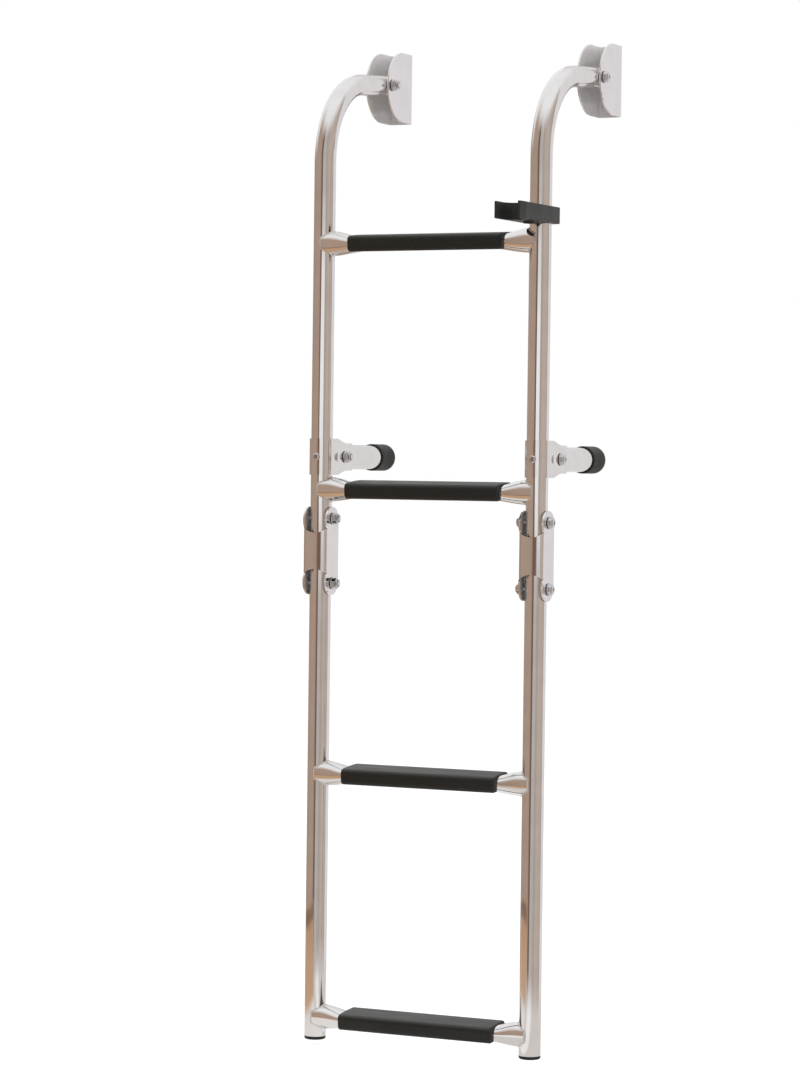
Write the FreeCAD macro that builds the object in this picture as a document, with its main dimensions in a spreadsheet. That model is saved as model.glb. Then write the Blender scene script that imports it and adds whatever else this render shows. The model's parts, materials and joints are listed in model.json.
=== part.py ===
import FreeCAD, Part
import math
import os
import re
import Sketcher

from FreeCAD import Vector

# Folding ladder for a boat's transom: two bent rails on a pair of wall brackets, four steps,
# and double-pivot hinge channels on which the lower half folds up in front of the upper half.
#
# Frame: millimetres. X runs across the ladder, +Y towards the transom, +Z up.
# The origin is the centre of the left bracket's back face, level with the bolt that holds the arm.

# Driving sizes
SIZES = {
    # rails
    "rail_spacing": 240.0,
    "tube_od": 22.0,
    "tube_wall": 1.2,
    "arm_reach": 177.0,
    "arm_drop": 174.0,
    "bend_radius": 87.0,
    "arm_tail": 15.0,
    "arm_slope": 5.0,
    # steps
    "step_pitch": 250.0,
    "middle_pitch": 290.0,
    "foot_length": 20.0,
    "weld_gap": 0.05,
    "flat_width": 29.0,
    "flat_height": 12.4,
    "flat_margin": 1.0,
    "tread_length": 166.0,
    "tread_depth": 40.0,
    "tread_height": 16.0,
    "tread_corner": 5.0,
    "tread_gap": 0.1,
    "tread_tilt": 5.5,
    "groove_pitch": 5.0,
    "groove_width": 1.6,
    "groove_depth": 0.6,
    # wall brackets
    "bracket_sheet": 1.5,
    "bracket_height": 73.0,
    "bracket_depth": 60.0,
    "bracket_shoulder": 25.0,
    "bracket_bend": 3.5,
    "mount_bolt_y": 49.0,
    "screw_spacing": 50.0,
    "screw_hole": 6.5,
    # hinge channels
    "pivot_drop": 30.0,
    "pivot_spacing": 66.0,
    "tube_overrun": 28.0,
    "side_play": 0.5,
    "channel_sheet": 2.0,
    "channel_back": 13.0,
    "channel_front": 14.2,
    "ear_rise": 12.0,
    "channel_bend": 3.5,
    "web_centre": 14.5,
    "web_corner": 10.5,
    # bolts and lock nuts, each with its washer
    "bolt_diameter": 6.0,
    "bolt_gap": 0.1,
    "bolt_end": 0.5,
    "washer_diameter": 12.5,
    "washer_height": 1.6,
    "head_diameter": 11.5,
    "head_height": 5.0,
    "head_rim": 2.0,
    "nut_across": 10.0,
    "nut_height": 5.0,
    "nut_gap": 0.05,
    "collar_diameter": 8.6,
    "collar_height": 2.0,
    "collar_round": 0.8,
    # standoffs
    "standoff_drop": 217.0,
    "clamp_height": 37.0,
    "clamp_tail": 28.0,
    "clamp_sheet": 1.5,
    "clamp_gap": 0.05,
    "clamp_length": 41.0,
    "clamp_flare": 7.0,
    "clamp_neck": 1.0,
    "clamp_curve": 18.0,
    "standoff_bolt_y": 25.0,
    "standoff_od": 25.0,
    "standoff_wall": 1.5,
    "standoff_length": 145.0,
    "pad_diameter": 28.0,
    "pad_length": 31.0,
    "pad_end": 5.0,
    "pad_gap": 0.1,
    "pad_round": 3.0,
    "strap_screw_diameter": 4.0,
    "strap_screw_length": 5.0,
    "strap_screw_head": 7.5,
    "strap_screw_height": 2.0,
    # clip that holds the folded lower section
    "clip_rise": 24.5,
    "clip_height": 16.5,
    "clip_wall": 4.0,
    "clip_lip": 16.0,
    "clip_gap": 0.3,
    "clip_corner": 4.0,
    "clip_taper": 12.0,
    "clip_tip": 2.2,
    "clip_edge": 1.0,
    "clip_boss_y": 30.0,
    "clip_boss_diameter": 10.0,
    "clip_boss_height": 2.0,
    # end caps of the feet
    "cap_lip": 3.5,
    "cap_plug": 14.0,
    "cap_gap": 0.1,
    "cap_round": 2.0,
}

doc = FreeCAD.newDocument("FoldingLadder")
sheet = doc.addObject("Spreadsheet::Sheet", "Sizes")
for row, (name, size) in enumerate(SIZES.items(), start=1):
    sheet.set(f"A{row}", name)
    sheet.set(f"B{row}", f"{size}")
    sheet.setAlias(f"B{row}", name)
doc.recompute()

# Lengths that follow from the driving sizes, as formulas
CHANNEL_WIDTH = "(tube_od + 2 * side_play + 2 * channel_sheet)"
BRACKET_WIDTH = "(tube_od + 2 * side_play + 2 * bracket_sheet)"
STEP_DROPS = {
    1: "arm_drop",
    2: "(arm_drop + step_pitch)",
    3: "(arm_drop + step_pitch + middle_pitch)",
    4: "(arm_drop + 2 * step_pitch + middle_pitch)",
}
STANDOFF_LEVEL = "(arm_drop + standoff_drop)"
UPPER_PIVOT_DROP = "(arm_drop + step_pitch + pivot_drop)"
LOWER_PIVOT_DROP = "(arm_drop + step_pitch + pivot_drop + pivot_spacing)"
UPPER_RAIL_END = "(arm_drop + step_pitch + pivot_drop + tube_overrun)"
FOOT_DROP = "(middle_pitch - pivot_drop - pivot_spacing + step_pitch + foot_length)"
HOLE = "(bolt_diameter + 2 * bolt_gap)"

# How long a cut right through is, and how far a cutting outline reaches past the piece
THROUGH = 400.0
BEYOND = "1"


def formula(text):
    """Turn a formula in the sheet's names into an expression of the document."""
    return re.sub(r"[a-z_]+", lambda word: f"Sizes.{word.group()}" if word.group() in SIZES else word.group(), text)


def number(text):
    """The value of a formula with the sheet's present sizes."""
    return float(sheet.evalExpression(formula(text)))


def bind(target, path, text):
    """Tie one property of an object to a formula."""
    target.setExpression(path, formula(text))


def new_body(label, x="0", y="0", z="0"):
    """Start a sub-part whose own origin lies at the place that the formulas give."""
    body = doc.addObject("PartDesign::Body", label)
    body.Label = label
    for axis, text in zip("xyz", (x, y, z)):
        bind(body, f"Placement.Base.{axis}", text)
    return body


def new_sketch(body, role, lift=None):
    """Add an empty sketch on one of the body's own planes, lifted along the plane's normal."""
    sketch = body.newObject("Sketcher::SketchObject", f"{body.Label}_sketch")
    plane = next(item for item in body.Origin.OriginFeatures if item.Role == role)
    sketch.AttachmentSupport = [(plane, "")]
    sketch.MapMode = "FlatFace"
    if lift is not None:
        bind(sketch, "AttachmentOffset.Base.z", lift)
    return sketch


def fix_point(sketch, edge, end, x, y):
    """Fix a point of an edge at the coordinates that two formulas give."""
    for kind, axis, text in (("DistanceX", -2, x), ("DistanceY", -1, y)):
        if text == "0":
            sketch.addConstraint(Sketcher.Constraint("PointOnObject", edge, end, axis))
            continue
        index = sketch.addConstraint(Sketcher.Constraint(kind, edge, end, number(text)))
        bind(sketch, f"Constraints[{index}]", text)


def add_circle(sketch, x, y, radius):
    """Add a circle with its centre and radius given by formulas."""
    centre = Vector(number(x), number(y), 0)
    edge = sketch.addGeometry(Part.Circle(centre, Vector(0, 0, 1), number(radius)), False)
    fix_point(sketch, edge, 3, x, y)
    index = sketch.addConstraint(Sketcher.Constraint("Radius", edge, number(radius)))
    bind(sketch, f"Constraints[{index}]", radius)


def add_ellipse(sketch, half_width, half_height):
    """Add an ellipse about the sketch's origin with its long axis along the sketch's X."""
    big = number(half_width)
    small = number(half_height)
    curve = Part.Ellipse(Vector(big, 0, 0), Vector(0, small, 0), Vector(0, 0, 0))
    edge = sketch.addGeometry(curve, False)
    sketch.exposeInternalGeometry(edge)
    sketch.addConstraint(Sketcher.Constraint("Coincident", edge, 3, -1, 1))
    for line, text, along in ((edge + 1, half_width, "DistanceX"), (edge + 2, half_height, "DistanceY")):
        ends = (line, 1, line, 2)
        geometry = sketch.Geometry[line]
        rising = getattr(geometry.EndPoint - geometry.StartPoint, "x" if along == "DistanceX" else "y") > 0
        first, second = (ends[:2], ends[2:]) if rising else (ends[2:], ends[:2])
        index = sketch.addConstraint(Sketcher.Constraint(along, *first, *second, 2 * number(text)))
        bind(sketch, f"Constraints[{index}]", f"2 * {text}")
    sketch.addConstraint(Sketcher.Constraint("Horizontal", edge + 1))


def add_outline(sketch, points, closed=True):
    """
    Add a chain of lines and arcs. A point is (x, y), reached by a line, or (x, y, cx, cy, turn),
    reached by an arc about (cx, cy) that turns "left" or "right". All coordinates are formulas.
    """
    count = len(points)
    last = count if closed else count - 1
    edges = []
    for i in range(last):
        start, end = points[i], points[(i + 1) % count]
        a = Vector(number(start[0]), number(start[1]), 0)
        b = Vector(number(end[0]), number(end[1]), 0)
        if len(end) == 2:
            edge = sketch.addGeometry(Part.LineSegment(a, b), False)
            edges.append((edge, 1, 2))
        else:
            centre = Vector(number(end[2]), number(end[3]), 0)
            ahead = end[4] == "left"
            first, second = (a, b) if ahead else (b, a)
            circle = Part.Circle(centre, Vector(0, 0, 1), (a - centre).Length)
            from_angle = math.atan2(first.y - centre.y, first.x - centre.x)
            to_angle = math.atan2(second.y - centre.y, second.x - centre.x)
            if to_angle <= from_angle:
                to_angle += 2 * math.pi
            edge = sketch.addGeometry(Part.ArcOfCircle(circle, from_angle, to_angle), False)
            edges.append((edge, 1, 2) if ahead else (edge, 2, 1))
            upright = abs(b.y - a.y) > abs(b.x - a.x)
            kind, text = ("DistanceX", end[2]) if upright else ("DistanceY", end[3])
            if text == "0":
                axis = -2 if upright else -1
                sketch.addConstraint(Sketcher.Constraint("PointOnObject", edge, 3, axis))
            else:
                index = sketch.addConstraint(Sketcher.Constraint(kind, edge, 3, number(text)))
                bind(sketch, f"Constraints[{index}]", text)
    for i, (edge, begin, finish) in enumerate(edges):
        fix_point(sketch, edge, begin, points[i][0], points[i][1])
        if closed or i + 1 < len(edges):
            following = edges[(i + 1) % len(edges)]
            sketch.addConstraint(Sketcher.Constraint("Coincident", edge, finish, following[0], following[1]))
    if not closed:
        edge, _, finish = edges[-1]
        fix_point(sketch, edge, finish, points[-1][0], points[-1][1])


def pad(body, sketch, length):
    """Pad a sketch evenly to both sides of its plane."""
    feature = body.newObject("PartDesign::Pad", f"{body.Label}_pad")
    feature.Profile = sketch
    feature.Midplane = True
    bind(feature, "Length", length)
    return feature


def cut_through(body, sketch):
    """Cut a sketch right through the body, evenly to both sides of its plane."""
    feature = body.newObject("PartDesign::Pocket", f"{body.Label}_cut")
    feature.Profile = sketch
    feature.Midplane = True
    feature.Length = THROUGH
    return feature


def cut_forwards(body, sketch, length):
    """Cut a sketch on the XZ plane towards -Y only."""
    doc.recompute()
    uncut = body.Shape.Volume
    feature = body.newObject("PartDesign::Pocket", f"{body.Label}_cut")
    feature.Profile = sketch
    feature.Reversed = True
    bind(feature, "Length", length)
    doc.recompute()
    if feature.Shape.Volume >= uncut:
        raise RuntimeError(f"{feature.Name} cuts nothing away")
    return feature


def turn_round(body, sketch, axis):
    """Turn a half outline all the way round one of its sketch's axes."""
    feature = body.newObject("PartDesign::Revolution", f"{body.Label}_turned")
    feature.Profile = sketch
    feature.ReferenceAxis = (sketch, [axis])
    feature.Angle = 360
    return feature


def cross_hole(body, y, z, diameter):
    """Drill a hole along X through the body."""
    sketch = new_sketch(body, "YZ_Plane")
    add_circle(sketch, y, z, f"{diameter} / 2")
    return cut_through(body, sketch)


def round_edges(body, base, radius, wanted):
    """Fillet the edges of the base feature that the test picks."""
    doc.recompute()
    names = [f"Edge{i}" for i, edge in enumerate(base.Shape.Edges, start=1) if wanted(edge)]
    if not names:
        raise RuntimeError(f"no edges to round on {body.Label}")
    feature = body.newObject("PartDesign::Fillet", f"{body.Label}_fillet")
    feature.Base = (base, names)
    bind(feature, "Radius", radius)
    return feature


def near(value, target):
    """Whether two lengths are the same for picking edges."""
    return abs(value - target) < 0.01


def upright_edge_at(x, y):
    """A test that picks the edges that run along Z through a given X and Y."""
    def test(edge):
        box = edge.BoundBox
        straight = near(box.XMin, box.XMax) and near(box.YMin, box.YMax)
        return straight and near(abs(box.XMin), x) and near(box.YMin, y)
    return test


# Wall bracket: a U of sheet with arched cheeks; the arm hangs on a bolt between the cheeks
def mount_bracket(label, x):
    body = new_body(label, x)
    side = new_sketch(body, "YZ_Plane")
    rise = "(bracket_depth - bracket_shoulder)"
    radius = f"((bracket_height ^ 2 / 4 + {rise} ^ 2) / (2 * {rise}))"
    add_outline(side, [
        ("0", "bracket_height / 2"),
        ("-bracket_shoulder", "bracket_height / 2"),
        ("-bracket_shoulder", "-bracket_height / 2", f"{radius} - bracket_depth", "0", "left"),
        ("0", "-bracket_height / 2"),
    ])
    pad(body, side, BRACKET_WIDTH)
    inside = new_sketch(body, "XY_Plane")
    half = f"({BRACKET_WIDTH} / 2 - bracket_sheet)"
    add_outline(inside, [
        (half, "-bracket_sheet"),
        (f"-{half}", "-bracket_sheet"),
        (f"-{half}", f"-bracket_depth - {BEYOND}"),
        (half, f"-bracket_depth - {BEYOND}"),
    ])
    hollow = cut_through(body, inside)
    outer = round_edges(body, hollow, "bracket_bend", upright_edge_at(number(f"{BRACKET_WIDTH} / 2"), 0))
    inner_edge = upright_edge_at(number(half), -number("bracket_sheet"))
    round_edges(body, outer, "bracket_bend - bracket_sheet", inner_edge)
    cross_hole(body, "-mount_bolt_y", "0", HOLE)
    back = new_sketch(body, "XZ_Plane")
    for sign in ("", "-"):
        add_circle(back, "0", f"{sign}screw_spacing / 2", "screw_hole / 2")
    cut_through(body, back)
    return body


# Pan-head bolt with its washer: the shank runs along X from the washer's seat
def pan_bolt(label, outward, x, y, z, length):
    body = new_body(label, x, y, z)
    half = new_sketch(body, "XY_Plane")
    out, back = ("-", "") if outward < 0 else ("", "-")
    top = "(washer_height + head_height)"
    rise = "(head_height - head_rim)"
    crown = f"((head_diameter ^ 2 / 4 + {rise} ^ 2) / (2 * {rise}))"
    add_outline(half, [
        (f"{out}{top}", "0"),
        (f"{out}(washer_height + head_rim)", "head_diameter / 2", f"{out}({top} - {crown})", "0",
         "right" if outward < 0 else "left"),
        (f"{out}washer_height", "head_diameter / 2"),
        (f"{out}washer_height", "washer_diameter / 2"),
        ("0", "washer_diameter / 2"),
        ("0", "bolt_diameter / 2"),
        (f"{back}({length})", "bolt_diameter / 2"),
        (f"{back}({length})", "0"),
    ])
    turn_round(body, half, "H_Axis")
    return body


# Lock nut with its washer: a hexagon with a round collar, bored through for the bolt
def lock_nut(label, outward, x, y, z):
    body = new_body(label, x, y, z)
    out = "-" if outward < 0 else ""
    hexagon = new_sketch(body, "YZ_Plane")
    corner = "(nut_across / 3 ^ 0.5)"
    flat = "(nut_across / 2)"
    add_outline(hexagon, [
        (corner, "0"),
        (f"{corner} / 2", flat),
        (f"-{corner} / 2", flat),
        (f"-{corner}", "0"),
        (f"-{corner} / 2", f"-{flat}"),
        (f"{corner} / 2", f"-{flat}"),
    ])
    block = body.newObject("PartDesign::Pad", f"{label}_block")
    block.Profile = hexagon
    block.Reversed = outward < 0
    bind(block, "Length", "washer_height + nut_height")
    half = new_sketch(body, "XY_Plane")
    full = "(washer_height + nut_height + collar_height)"
    shoulder = "(collar_diameter / 2 - collar_round)"
    add_outline(half, [
        ("0", "0"),
        ("0", "washer_diameter / 2"),
        (f"{out}washer_height", "washer_diameter / 2"),
        (f"{out}washer_height", "collar_diameter / 2"),
        (f"{out}({full} - collar_round)", "collar_diameter / 2"),
        (f"{out}{full}", shoulder, f"{out}({full} - collar_round)", shoulder, "left" if outward < 0 else "right"),
        (f"{out}{full}", "0"),
    ])
    turn_round(body, half, "H_Axis")
    bore = new_sketch(body, "YZ_Plane")
    add_circle(bore, "0", "0", "bolt_diameter / 2 + nut_gap")
    cut_through(body, bore)
    return body


# Bolt and lock nut through a joint: the head outside the ladder, the nut on its inner side
def bolt_set(bolt_label, nut_label, outward, x, y, z, width):
    out, back = ("-", "+") if outward < 0 else ("+", "-")
    length = f"{width} + washer_height + nut_height + collar_height + bolt_end"
    bolt = pan_bolt(bolt_label, outward, f"{x} {out} {width} / 2", y, z, length)
    nut = lock_nut(nut_label, -outward, f"{x} {back} {width} / 2", y, z)
    return [bolt, nut]


def strap_screw_hole(body, level):
    """Drill the hole of the screw that keeps the standoff clamp from sliding down the rail."""
    sketch = new_sketch(body, "XZ_Plane")
    add_circle(sketch, "0", level, "strap_screw_diameter / 2 + bolt_gap")
    return cut_forwards(body, sketch, "tube_od")


# Upper rail: one tube from the hinge up the ladder, round the bend and back to the bracket
def upper_rail(label, x):
    body = new_body(label, x, "-arm_reach")
    path = new_sketch(body, "YZ_Plane")
    hang = "(arm_reach - mount_bolt_y)"
    bend_end = "(bend_radius * (1 - sin(arm_slope)))"
    bend_top = f"(({bend_end} - {hang}) * tan(arm_slope))"
    add_outline(path, [
        ("0", f"-{UPPER_RAIL_END}"),
        ("0", f"{bend_top} - bend_radius * cos(arm_slope)"),
        (bend_end, bend_top, "bend_radius", f"{bend_top} - bend_radius * cos(arm_slope)", "right"),
        (f"{hang} + arm_tail * cos(arm_slope)", "arm_tail * sin(arm_slope)"),
    ], closed=False)
    for kind, radius in (("Additive", "tube_od / 2"), ("Subtractive", "tube_od / 2 - tube_wall")):
        ring = new_sketch(body, "XY_Plane", f"-{UPPER_RAIL_END}")
        add_circle(ring, "0", "0", radius)
        pipe = body.newObject(f"PartDesign::{kind}Pipe", f"{label}_{kind.lower()}")
        pipe.Profile = ring
        pipe.Spine = (path, [])
    cross_hole(body, "arm_reach - mount_bolt_y", "0", HOLE)
    cross_hole(body, "0", f"-{UPPER_PIVOT_DROP}", HOLE)
    strap_screw_hole(body, f"-{STANDOFF_LEVEL}")
    return body


# Lower rail: a straight tube from inside the hinge channel down to the foot
def lower_rail(label, x):
    body = new_body(label, x, "-arm_reach", f"-{LOWER_PIVOT_DROP}")
    ring = new_sketch(body, "XY_Plane", "tube_overrun")
    add_circle(ring, "0", "0", "tube_od / 2")
    add_circle(ring, "0", "0", "tube_od / 2 - tube_wall")
    tube = body.newObject("PartDesign::Pad", f"{label}_tube")
    tube.Profile = ring
    tube.Reversed = True
    bind(tube, "Length", f"tube_overrun + {FOOT_DROP}")
    cross_hole(body, "0", "0", HOLE)
    return body


# Step tube: round at its welds and pressed flat and wide under the tread
def step_tube(label, drop):
    body = new_body(label, "0", "-arm_reach", f"-{drop}")
    taper = "((rail_spacing - tread_length) / 2 - flat_margin)"
    for kind, wall in (("Additive", "0"), ("Subtractive", "tube_wall")):
        sections = []
        for lift, flat in (("0", False), (taper, True), (f"rail_spacing - {taper}", True), ("rail_spacing", False)):
            section = new_sketch(body, "YZ_Plane", lift)
            bind(section, "AttachmentOffset.Rotation.Angle", "tread_tilt")
            if flat:
                add_ellipse(section, f"(flat_width / 2 - {wall})", f"(flat_height / 2 - {wall})")
            else:
                add_circle(section, "0", "0", f"tube_od / 2 - {wall}")
            sections.append(section)
        loft = body.newObject(f"PartDesign::{kind}Loft", f"{label}_{kind.lower()}")
        loft.Profile = sections[0]
        loft.Sections = sections[1:]
        loft.Ruled = True
    cope = new_sketch(body, "XY_Plane")
    for x in ("0", "rail_spacing"):
        add_circle(cope, x, "0", "tube_od / 2 + weld_gap")
    cut_through(body, cope)
    return body


# Tread: a plastic sleeve over the flat of the step tube, with grip grooves along its top
def step_tread(label, drop):
    body = new_body(label, "rail_spacing / 2", "-arm_reach", f"-{drop}")
    body.Placement.Rotation = FreeCAD.Rotation(Vector(1, 0, 0), 1)
    bind(body, "Placement.Rotation.Angle", "tread_tilt")
    block = new_sketch(body, "YZ_Plane")
    add_outline(block, [
        ("tread_depth / 2", "tread_height / 2"),
        ("-tread_depth / 2", "tread_height / 2"),
        ("-tread_depth / 2", "-tread_height / 2"),
        ("tread_depth / 2", "-tread_height / 2"),
    ])
    sleeve = pad(body, block, "tread_length")
    depth, height = number("tread_depth / 2"), number("tread_height / 2")
    rounded = round_edges(body, sleeve, "tread_corner", lambda edge: near(abs(edge.BoundBox.YMin), depth)
                          and near(edge.BoundBox.YMin, edge.BoundBox.YMax)
                          and near(abs(edge.BoundBox.ZMin), height)
                          and near(edge.BoundBox.ZMin, edge.BoundBox.ZMax))
    bore = new_sketch(body, "YZ_Plane")
    add_ellipse(bore, "(flat_width / 2 + tread_gap)", "(flat_height / 2 + tread_gap)")
    cut_through(body, bore)
    count = "floor((tread_depth - 2 * tread_corner) / groove_pitch)"
    first = f"(groove_pitch * (1 - {count}) / 2)"
    groove = new_sketch(body, "YZ_Plane")
    add_outline(groove, [
        (f"{first} + groove_width / 2", "tread_height / 2 - groove_depth"),
        (f"{first} + groove_width / 2", f"tread_height / 2 + {BEYOND}"),
        (f"{first} - groove_width / 2", f"tread_height / 2 + {BEYOND}"),
        (f"{first} - groove_width / 2", "tread_height / 2 - groove_depth"),
    ])
    first_groove = cut_through(body, groove)
    doc.recompute()
    grooves = body.newObject("PartDesign::LinearPattern", f"{label}_grooves")
    grooves.Originals = [first_groove]
    grooves.Direction = (groove, ["H_Axis"])
    bind(grooves, "Occurrences", count)
    bind(grooves, "Length", f"groove_pitch * ({count} - 1)")
    body.Tip = grooves
    return body


# Hinge channel: a U of sheet round both tube ends. Its cheeks end in round ears past the two
# pivots, and its web is cut back in a curve at both ends so that the tubes can swing out over it.
def hinge_channel(label, x):
    body = new_body(label, x, "-arm_reach", f"-{UPPER_PIVOT_DROP}")
    wide = f"({CHANNEL_WIDTH} / 2)"
    half = f"({CHANNEL_WIDTH} / 2 - channel_sheet)"
    front = "(channel_front - channel_sheet)"
    bend = "(channel_bend - channel_sheet)"
    tangent = "(channel_bend - channel_front)"
    web = new_sketch(body, "XY_Plane", "-pivot_spacing / 2")
    add_outline(web, [
        (wide, "channel_back"),
        (f"-{wide}", "channel_back"),
        (f"-{wide}", tangent),
        (f"channel_bend - {wide}", "-channel_front", f"channel_bend - {wide}", tangent, "left"),
        (f"{wide} - channel_bend", "-channel_front"),
        (wide, tangent, f"{wide} - channel_bend", tangent, "left"),
    ])
    pad(body, web, "pivot_spacing - 2 * web_corner")
    side = new_sketch(body, "YZ_Plane")
    ear = "((channel_front + channel_back) / 2)"
    middle = "((channel_back - channel_front) / 2)"
    level = f"(ear_rise - {ear})"
    reach = f"(({ear} ^ 2 - (web_corner + {level}) ^ 2) ^ 0.5 - {middle})"
    add_outline(side, [
        ("channel_back", level),
        (f"-{reach}", "-web_corner", middle, level, "left"),
        (tangent, "-web_corner"),
        (tangent, "web_corner - pivot_spacing"),
        (f"-{reach}", "web_corner - pivot_spacing"),
        ("channel_back", f"-pivot_spacing - {level}", middle, f"-pivot_spacing - {level}", "left"),
    ])
    pad(body, side, CHANNEL_WIDTH)
    inside = new_sketch(body, "XY_Plane")
    add_outline(inside, [
        (half, f"channel_back + {BEYOND}"),
        (f"-{half}", f"channel_back + {BEYOND}"),
        (f"-{half}", f"{bend} - {front}"),
        (f"{bend} - {half}", f"-{front}", f"{bend} - {half}", f"{bend} - {front}", "left"),
        (f"{half} - {bend}", f"-{front}"),
        (half, f"{bend} - {front}", f"{half} - {bend}", f"{bend} - {front}", "left"),
    ])
    cut_through(body, inside)
    windows = new_sketch(body, "XZ_Plane")
    sag = "(web_centre - web_corner)"
    radius = f"(({half} ^ 2 + {sag} ^ 2) / (2 * {sag}))"
    add_outline(windows, [
        (half, f"ear_rise + {BEYOND}"),
        (f"-{half}", f"ear_rise + {BEYOND}"),
        (f"-{half}", "-web_corner"),
        (half, "-web_corner", "0", f"{radius} - web_centre", "left"),
    ])
    add_outline(windows, [
        (half, f"-pivot_spacing - ear_rise - {BEYOND}"),
        (f"-{half}", f"-pivot_spacing - ear_rise - {BEYOND}"),
        (f"-{half}", "web_corner - pivot_spacing"),
        (half, "web_corner - pivot_spacing", "0", f"web_centre - pivot_spacing - {radius}", "right"),
    ])
    cut_forwards(body, windows, f"channel_front + {BEYOND}")
    for level in ("0", "-pivot_spacing"):
        cross_hole(body, "0", level, HOLE)
    return body


# Standoff clamp: a strap round the front of the rail whose cheeks hold the standoff tube
def standoff_clamp(label, x):
    body = new_body(label, x, "-arm_reach", f"-{STANDOFF_LEVEL}")
    strap = new_sketch(body, "XY_Plane")
    inner = "(tube_od / 2 + clamp_gap)"
    outer = f"({inner} + clamp_sheet)"
    wide = "(standoff_od / 2 + clamp_gap)"
    broad = f"({wide} + clamp_sheet)"
    bend = "(tube_od / 2)"
    flared = f"({bend} + clamp_flare)"
    add_outline(strap, [
        (broad, "clamp_length"),
        (broad, flared),
        (outer, bend),
        (outer, "0"),
        (f"-{outer}", "0", "0", "0", "right"),
        (f"-{outer}", bend),
        (f"-{broad}", flared),
        (f"-{broad}", "clamp_length"),
        (f"-{wide}", "clamp_length"),
        (f"-{wide}", flared),
        (f"-{inner}", bend),
        (f"-{inner}", "0"),
        (inner, "0", "0", "0", "left"),
        (inner, bend),
        (wide, flared),
        (wide, "clamp_length"),
    ])
    pad(body, strap, "clamp_height")
    taper = new_sketch(body, "YZ_Plane")
    drop = "((clamp_height - clamp_tail) / 2)"
    curve = f"((clamp_curve ^ 2 + {drop} ^ 2) / (2 * {drop}))"
    narrowed = f"({bend} + clamp_neck + clamp_curve)"
    for sign, turn in (("", "left"), ("-", "right")):
        add_outline(taper, [
            (f"{bend} + clamp_neck", f"{sign}clamp_height / 2"),
            (narrowed, f"{sign}clamp_tail / 2", narrowed, f"{sign}(clamp_tail / 2 + {curve})", turn),
            (f"clamp_length + {BEYOND}", f"{sign}clamp_tail / 2"),
            (f"clamp_length + {BEYOND}", f"{sign}(clamp_height / 2 + {BEYOND})"),
            (f"{bend} + clamp_neck", f"{sign}(clamp_height / 2 + {BEYOND})"),
        ])
    cut_through(body, taper)
    cross_hole(body, "standoff_bolt_y", "0", HOLE)
    strap_screw_hole(body, "0")
    return body


# Strap screw: a small domed screw through the front of the clamp into the rail
def strap_screw(label, x):
    body = new_body(label, x, "-arm_reach - tube_od / 2 - clamp_gap - clamp_sheet", f"-{STANDOFF_LEVEL}")
    half = new_sketch(body, "XY_Plane")
    crown = "((strap_screw_head ^ 2 / 4 + strap_screw_height ^ 2) / (2 * strap_screw_height))"
    add_outline(half, [
        ("0", "-strap_screw_height"),
        ("strap_screw_head / 2", "0", "0", f"{crown} - strap_screw_height", "left"),
        ("strap_screw_diameter / 2", "0"),
        ("strap_screw_diameter / 2", "strap_screw_length"),
        ("0", "strap_screw_length"),
    ])
    turn_round(body, half, "V_Axis")
    return body


# Standoff tube: from the clamp back to the rubber pad
def standoff_tube(label, x):
    body = new_body(label, x, "-arm_reach", f"-{STANDOFF_LEVEL}")
    start = "(tube_od / 2 + clamp_flare + clamp_gap)"
    ring = new_sketch(body, "XZ_Plane", f"-{start}")
    add_circle(ring, "0", "0", "standoff_od / 2")
    add_circle(ring, "0", "0", "standoff_od / 2 - standoff_wall")
    tube = body.newObject("PartDesign::Pad", f"{label}_tube")
    tube.Profile = ring
    tube.Reversed = True
    bind(tube, "Length", f"standoff_length - pad_end - {start}")
    cross_hole(body, "standoff_bolt_y", "0", HOLE)
    return body


# Standoff pad: a rubber cap over the end of the standoff tube
def standoff_pad(label, x):
    body = new_body(label, x, "standoff_length - arm_reach", f"-{STANDOFF_LEVEL}")
    half = new_sketch(body, "YZ_Plane")
    bore = "(standoff_od / 2 + pad_gap)"
    edge = "(pad_diameter / 2 - pad_round)"
    add_outline(half, [
        ("-pad_length", bore),
        ("-pad_length", "pad_diameter / 2"),
        ("-pad_round", "pad_diameter / 2"),
        ("0", edge, "-pad_round", edge, "right"),
        ("0", "0"),
        ("-pad_end + pad_gap", "0"),
        ("-pad_end + pad_gap", bore),
    ])
    turn_round(body, half, "H_Axis")
    return body


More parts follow.
